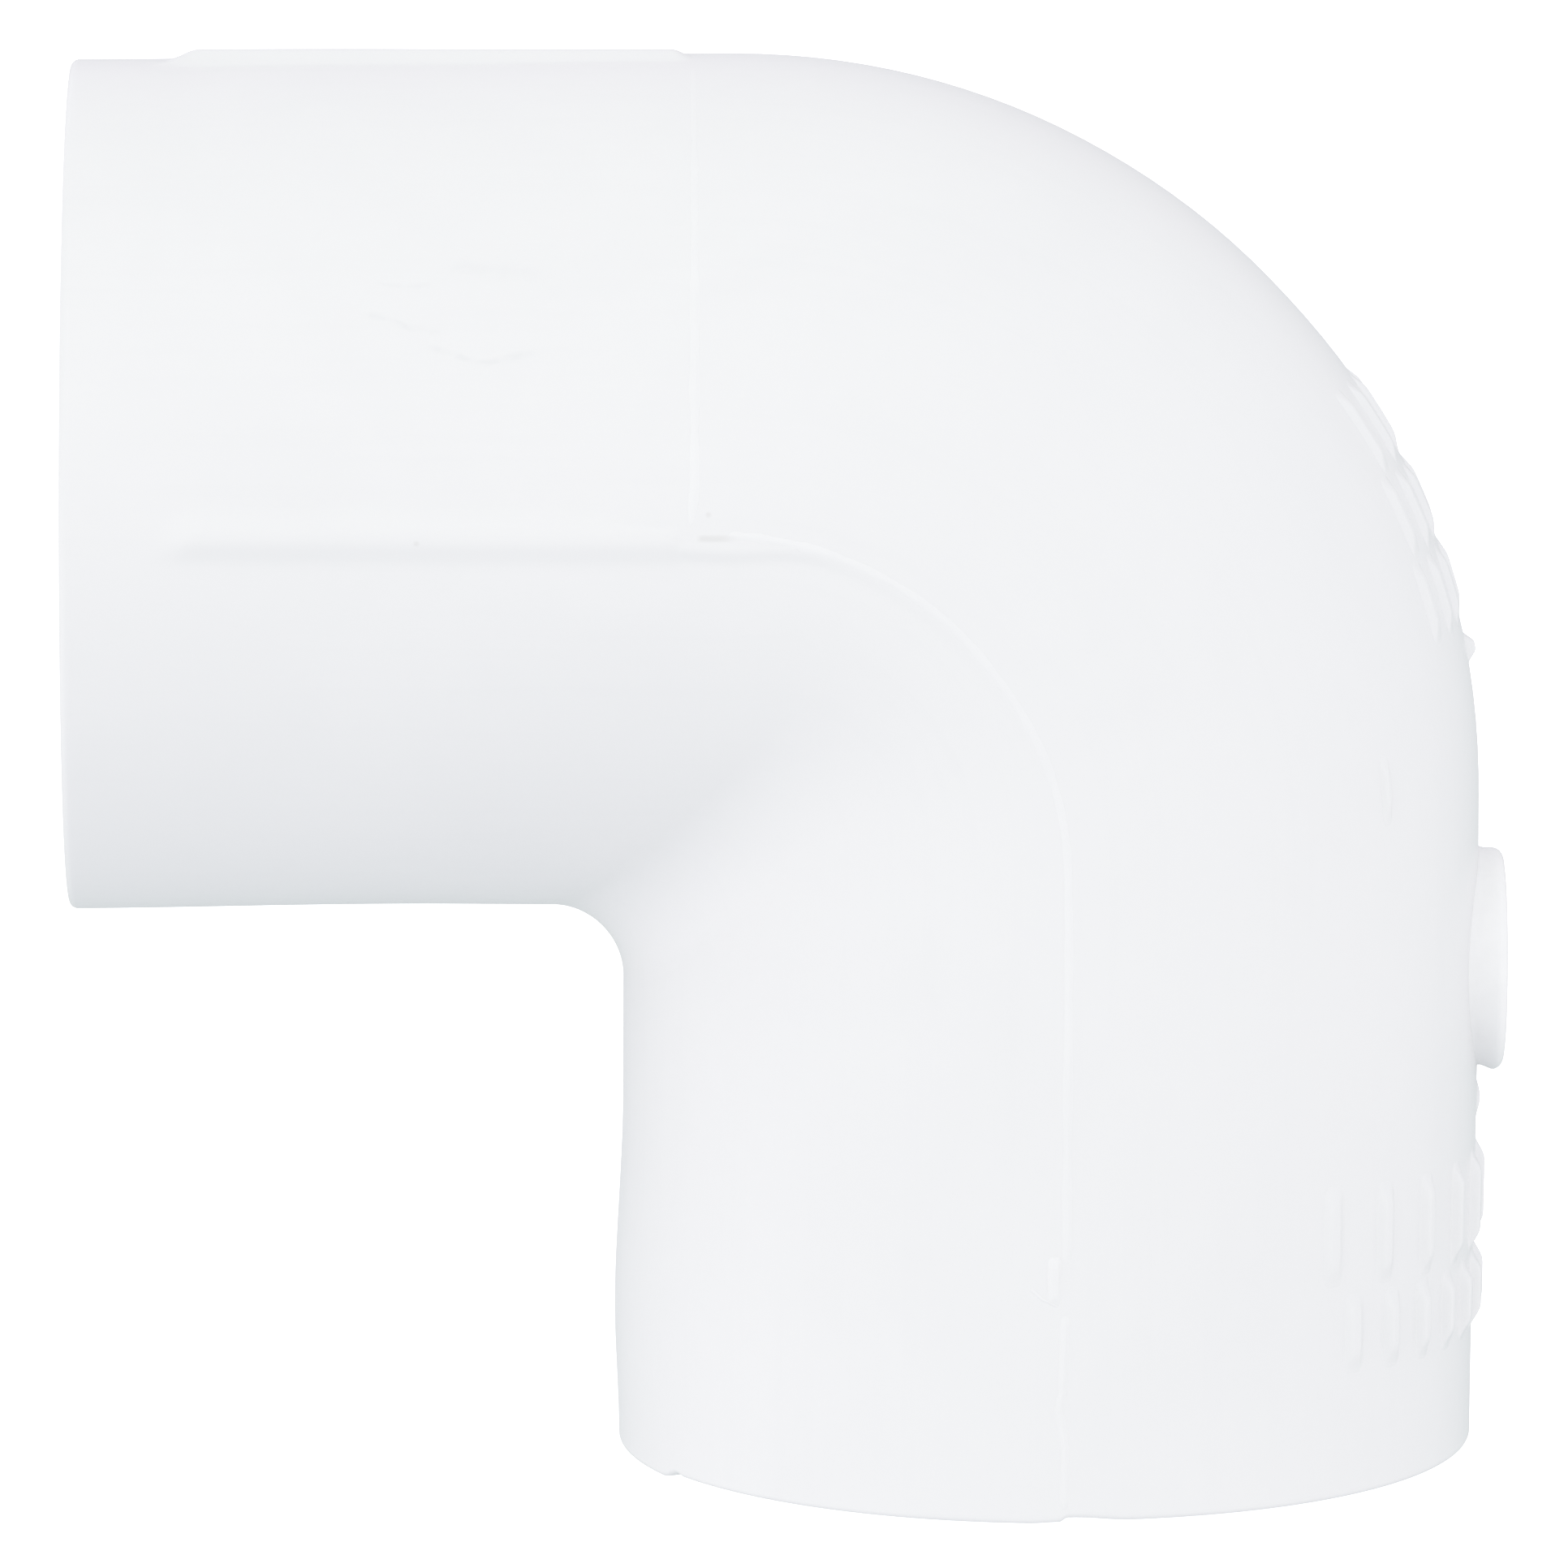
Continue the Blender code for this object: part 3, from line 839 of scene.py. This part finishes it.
def noise(start, vector, scale, detail, roughness=0.5, distortion=0.0):
    """Value of a noise texture at a place: `scale` is in features per metre."""
    sockets = {"Vector": vector, "Scale": scale, "Detail": detail}
    sockets |= {"Roughness": roughness, "Distortion": distortion}
    return start.node("ShaderNodeTexNoise", {}, sockets)


def mix_colours(start, factor, first, second):
    """Colour that passes from the first to the second as the factor goes from 0 to 1."""
    return start.node("ShaderNodeMix", {"data_type": "RGBA"}, {"Factor": factor, 6: first, 7: second}, 2)


def flow_marks(start, place):
    """Masks on the front of the upper arm: faint flow marks, and the specks with a painted shadow smear
    beside one.

    A flow mark is 1 on its wavering line and falls to 0 over its half width. The flow marks are three lines
    and a patch. The smear is a painted shadow where the front mould line starts, and shares the specks'
    mask.
    """
    x, y, z = (start.node("ShaderNodeSeparateXYZ", {}, {0: place}, part) for part in range(3))
    drift = noise(start, place, 420.0, 3.0) - 0.5
    along, up = x - AXES.x, z - AXES.z
    lines = 0.0
    for height, waver, half_width, strength, comes, goes, slopes in FLOW_MARKS:
        off = up - height * MM + drift * (waver * MM)
        for rise, low, high in slopes:
            off = off - along.step(low * MM, high * MM) * (rise * MM)
        reach = along.step(comes[0] * MM, comes[1] * MM) * along.step(goes[1] * MM, goes[0] * MM)
        lines = lines + abs(off).step(half_width * MM, 0.0) * reach * strength
    lines = lines * (0.30 + 0.70 * noise(start, place, 1300.0, 2.0).step(0.38, 0.56))
    front = 1.0 - y.step(-9.0 * MM, -6.0 * MM)
    # Painted shadow: a dark smear where the front mould line starts, added to the specks' mask
    shade_smear_reach = along.step(-13.95 * MM, -13.65 * MM) * (1.0 - along.step(-13.1 * MM, -12.2 * MM))
    specks_and_shade = (1.0 - abs(up - 0.50 * MM).step(0.02 * MM, 0.20 * MM)) * shade_smear_reach * 0.43
    for across, height in SPECKS:
        sideways, raised = along - across, up - height
        distance = start.maths("SQRT", sideways * sideways + raised * raised)
        specks_and_shade = specks_and_shade + (1.0 - distance.step(0.03 * MM, 0.16 * MM)) * 0.35
    return lines * front, specks_and_shade * front


def white_pvc(finish, name, body):
    """Injection-moulded white PVC: half gloss, faintly clouded, with flow marks, specks, a painted shadow
    smear and fine grain.
    """
    material = bpy.data.materials.new(name)
    material.use_nodes = True
    tree = material.node_tree
    shader = tree.nodes["Principled BSDF"]
    start = Wire(tree)
    place = start.node("ShaderNodeTexCoord", output=3)
    pulled = start.node("ShaderNodeAttribute", {"attribute_name": "pulled_straight"}, output=1)

    cloud = noise(start, place, 70.0, 3.0, 0.55, 0.6)
    mottle = noise(start, place, 900.0, 4.0, 0.6)
    stretched = start.node(
        "ShaderNodeVectorMath", {"operation": "MULTIPLY"}, {0: pulled, 1: (1.0, 1.0, 0.035)}
    )
    streaks = noise(start, stretched, 1500.0, 3.0, 0.6)
    marks, specks_and_shade = flow_marks(start, place)

    dull = cloud.step(0.38, 0.72) * 0.75 + mottle.step(0.3, 0.8) * 0.25
    tone = mix_colours(start, dull, rgba(body), rgba(finish.cloud))
    tone = mix_colours(start, marks * 0.30, tone, rgba(finish.flow))
    tone = mix_colours(start, streaks.step(0.45, 0.85) * 0.06, tone, rgba(finish.flow))
    # The specks and the painted shadow smear darken the tone here
    tone = mix_colours(start, specks_and_shade * 0.30, tone, rgba(finish.speck_and_shade))

    spread = finish.roughness_spread
    gloss = finish.roughness - 0.5 * spread + cloud * spread * 0.6 + mottle * spread * 0.4 + marks * 0.06

    waves = noise(start, place, 420.0, 2.0) * finish.peel
    grain = noise(start, place, 5200.0, 2.0) * finish.grain
    relief = waves + grain + streaks * finish.streak - marks * (0.012 * MM)
    bump = start.node("ShaderNodeBump", {}, {"Strength": 1.0, "Distance": 1.0, "Height": relief})

    tree.links.new(tone.socket, shader.inputs["Base Color"])
    tree.links.new(gloss.socket, shader.inputs["Roughness"])
    tree.links.new(bump.socket, shader.inputs["Normal"])
    shader.inputs["IOR"].default_value = 1.53
    shader.inputs["Metallic"].default_value = 0.0
    return material


class ELBOW_OT_wall(bpy.types.Operator):
    """Make the moulded wall in place of the three solids"""

    bl_idname = "elbow.wall"
    bl_label = "Moulded wall"

    def execute(self, context):
        sizes, finish = context.scene.elbow_sizes, context.scene.pvc_finish
        points, pulled = elbow_wall(sizes)
        faces = grid_faces(*points.shape[:2], True).tolist()
        material = white_pvc(finish, "wall_pvc", finish.body)
        wall = make_piece("elbow_wall", points.reshape(-1, 3), faces, pulled.reshape(-1, 3), material)
        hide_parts("upper_socket", "bend", "lower_socket")
        return {"FINISHED"}


class ELBOW_OT_gate_pad(bpy.types.Operator):
    """Make the round pad that the mould's gate leaves on the heel"""

    bl_idname = "elbow.gate_pad"
    bl_label = "Gate pad"

    def execute(self, context):
        sizes, finish = context.scene.elbow_sizes, context.scene.pvc_finish
        # The pad's paler colour is painted light against the wall's shade on it
        make_tubes("gate_pad", [gate_pad(sizes)], white_pvc(finish, "gate_pvc_painted_pale", finish.gate))
        return {"FINISHED"}


class ELBOW_OT_mould_lines(bpy.types.Operator):
    """Make the raised lines where the parts of the mould met"""

    bl_idname = "elbow.mould_lines"
    bl_label = "Mould lines"

    def execute(self, context):
        sizes, finish = context.scene.elbow_sizes, context.scene.pvc_finish
        tubes = [middle_line(-1, sizes), middle_line(1, sizes), ring_line(-1, sizes), ring_line(1, sizes)]
        tubes += [flash_flake(sizes), flash_curl(sizes)]
        # The lines' paler colour is partly the flash's own tint and partly a painted highlight
        make_tubes("mould_lines", tubes, white_pvc(finish, "mould_line_pvc_flash_and_highlight", finish.flash))
        return {"FINISHED"}


class ELBOW_OT_raised_bars(bpy.types.Operator):
    """Make the rows of plain raised bars on the heel and the lower arm"""

    bl_idname = "elbow.raised_bars"
    bl_label = "Raised bars"

    def execute(self, context):
        sizes, finish = context.scene.elbow_sizes, context.scene.pvc_finish
        bars = raised_bars(*bar_rows(sizes), sizes.bar_flank, sizes)
        make_tubes("raised_bars", list(bars), white_pvc(finish, "bar_pvc", finish.body))
        return {"FINISHED"}


def soft_light(stage, middle):
    """The large soft light at the front left, turned to the part's middle."""
    data = bpy.data.lights.new("left_light", "AREA")
    data.shape = "DISK"
    data.size = stage.left_size
    data.energy = stage.left_watts
    lamp = bpy.data.objects.new("left_light", data)
    location = middle + Vector(stage.left_place)
    turn = (middle - location).to_track_quat("-Z", "Y")
    lamp.matrix_world = Matrix.Translation(location) @ turn.to_matrix().to_4x4()
    bpy.context.scene.collection.objects.link(lamp)


def studio_light_tent(stage):
    """Soft light from all round, in ramps with height.

    One ramp stands in front, and a pair, for left and right, at the sides, by a share x^2, and at the rear,
    by a share y^2. Left passes into right smoothly through the middle.
    """
    tent = bpy.data.worlds.new("studio_light_tent")
    tent.use_nodes = True
    start = Wire(tent.node_tree)
    direction = start.node("ShaderNodeTexCoord", output=3)
    x, y, z = (start.node("ShaderNodeSeparateXYZ", {}, {0: direction}, part) for part in range(3))
    height = z * 0.5 + 0.5
    behind = start.maths("MAXIMUM", y, 0.0)
    tints = ((0.0, rgba(stage.nadir)), (0.45, rgba(stage.level)), (1.0, rgba(stage.zenith)))
    ahead = start.node("ShaderNodeValToRGB", {"stops": tints}, {0: height})
    ramps = []
    for side in ("left", "right", "rear_left", "rear_right"):
        low, high = getattr(stage, f"{side}_low"), getattr(stage, f"{side}_high")
        tints = ((0.35, rgba(low)), (0.68, rgba(high)))
        ramps.append(start.node("ShaderNodeValToRGB", {"stops": tints}, {0: height}))
    left, right, rear_left, rear_right = ramps
    rightward = x.step(-0.45, 0.45)
    sides = mix_colours(start, x * x, ahead, mix_colours(start, rightward, left, right))
    light = mix_colours(start, behind * behind, sides, mix_colours(start, rightward, rear_left, rear_right))
    background = tent.node_tree.nodes["Background"]
    tent.node_tree.links.new(light.socket, background.inputs["Color"])
    background.inputs["Strength"].default_value = stage.tent_strength
    return tent


def studio_floor(stage):
    """A wide disc under the part, in a pale even finish."""
    turn = np.linspace(0.0, 2 * math.pi, 97)[:-1]
    reach = 3.0
    points = np.stack([reach * np.cos(turn), reach * np.sin(turn), np.zeros(96)], axis=-1)
    mesh = bpy.data.meshes.new("studio_floor")
    mesh.from_pydata(points.tolist(), [], [list(range(96))])
    floor = bpy.data.objects.new("studio_floor", mesh)
    bpy.context.scene.collection.objects.link(floor)
    material = bpy.data.materials.new("studio_floor")
    material.use_nodes = True
    shader = material.node_tree.nodes["Principled BSDF"]
    shader.inputs["Base Color"].default_value = rgba(stage.floor)
    shader.inputs["Roughness"].default_value = 0.9
    shader.inputs["Specular IOR Level"].default_value = 0.0
    shader.inputs["Emission Color"].default_value = rgba(stage.floor)
    shader.inputs["Emission Strength"].default_value = stage.floor_glow
    mesh.materials.append(material)
    floor.visible_diffuse = False
    floor.visible_glossy = False
    floor.visible_shadow = False


def studio_camera(stage):
    """Camera at the photograph's angle: back is its view reversed, and it is rolled about that."""
    right = Vector((math.cos(stage.azimuth), math.sin(stage.azimuth), 0.0))
    level = Vector((math.sin(stage.azimuth), -math.cos(stage.azimuth), 0.0))
    back = math.cos(stage.elevation) * level + Vector((0.0, 0.0, math.sin(stage.elevation)))
    up = back.cross(right)
    rolled = math.cos(stage.roll) * right + math.sin(stage.roll) * up
    raised = math.cos(stage.roll) * up - math.sin(stage.roll) * right
    data = bpy.data.cameras.new("studio_camera")
    data.sensor_width = 36.0
    data.lens = stage.focal_pixels * data.sensor_width / PHOTO_PIXELS
    data.clip_start, data.clip_end = 0.05, 20.0
    camera = bpy.data.objects.new("studio_camera", data)
    turn = Matrix((rolled, raised, back)).transposed().to_4x4()
    camera.matrix_world = Matrix.Translation(AXES + Vector(stage.target) + stage.distance * back) @ turn
    bpy.context.scene.collection.objects.link(camera)
    bpy.context.scene.camera = camera


class ELBOW_OT_stage(bpy.types.Operator):
    """Make the floor, the soft light and the camera"""

    bl_idname = "elbow.stage"
    bl_label = "Studio"

    def execute(self, context):
        stage = context.scene.studio_stage
        studio_floor(stage)
        soft_light(stage, (CAD_LOW + CAD_HIGH) / 2)
        context.scene.world = studio_light_tent(stage)
        context.scene.view_settings.view_transform = "Standard"
        context.scene.view_settings.look = "None"
        studio_camera(stage)
        return {"FINISHED"}


class ELBOW_PT_panel(bpy.types.Panel):
    """Lists the steps that dress the elbow"""

    bl_idname = "ELBOW_PT_panel"
    bl_label = "Pipe elbow"
    bl_space_type = "VIEW_3D"
    bl_region_type = "UI"
    bl_category = "Elbow"

    def draw(self, context):
        for step in STEPS:
            self.layout.operator(step.bl_idname)


GROUPS = {"elbow_sizes": ElbowSizes, "pvc_finish": PvcFinish, "studio_stage": StudioStage}
STEPS = (ELBOW_OT_wall, ELBOW_OT_gate_pad, ELBOW_OT_mould_lines, ELBOW_OT_raised_bars, ELBOW_OT_stage)


def register():
    for kind in (*GROUPS.values(), *STEPS, ELBOW_PT_panel):
        bpy.utils.register_class(kind)
    for name, group in GROUPS.items():
        setattr(bpy.types.Scene, name, PointerProperty(type=group))


def unregister():
    for name in GROUPS:
        delattr(bpy.types.Scene, name)
    for kind in reversed((*GROUPS.values(), *STEPS, ELBOW_PT_panel)):
        bpy.utils.unregister_class(kind)


def main():
    register()
    bpy.ops.elbow.wall()
    bpy.ops.elbow.gate_pad()
    bpy.ops.elbow.mould_lines()
    bpy.ops.elbow.raised_bars()
    bpy.ops.elbow.stage()


if __name__ == "__main__":
    main()
